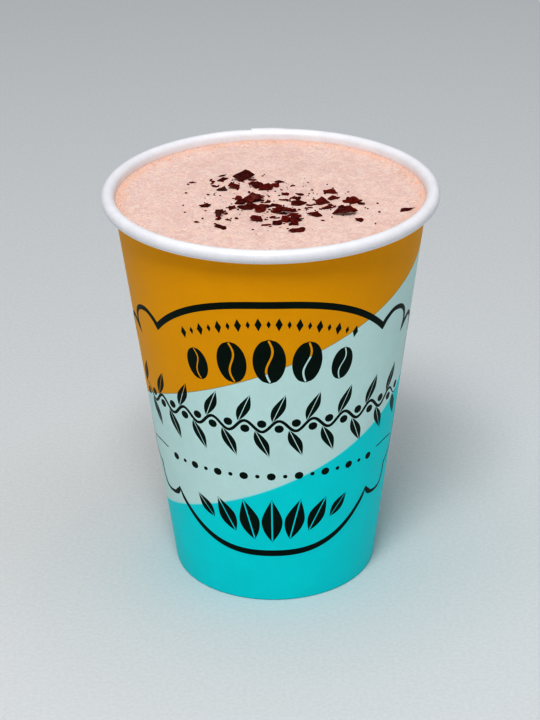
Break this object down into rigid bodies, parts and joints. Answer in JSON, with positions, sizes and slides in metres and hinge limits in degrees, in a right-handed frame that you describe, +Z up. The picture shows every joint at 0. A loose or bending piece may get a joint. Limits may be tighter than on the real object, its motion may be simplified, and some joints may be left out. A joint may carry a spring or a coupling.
{
  "type": "hot chocolate in a paper cup",
  "caption": "Takeaway paper cup with a rolled white rim and a printed tapered wall, filled to just under the rim with frothy hot chocolate.",
  "frame": {"origin": "centre of the foot, on the surface that the cup stands on", "axes": "+Z up along the cup's axis; -Y towards the front of the print; the side seam is at the back, about 2 degrees round from +Y towards -X"},
  "size_m": [0.09, 0.09, 0.112],
  "materials": {
    "printed_board": "printed paperboard under a thin satin varnish",
    "white_board": "bare white paperboard with a thin film inside",
    "froth": "wet matt milk froth with fine bubbles",
    "dark_ink": "dark green-black ink printed on the paperboard, under the same varnish",
    "chocolate": "dark chocolate shavings with dull faces and glossy broken edges"
  },
  "bodies": {
    "root": {"cup_wall": "printed_board", "cup_base": "white_board", "cocoa": "froth"}
  },
  "joints": []
}
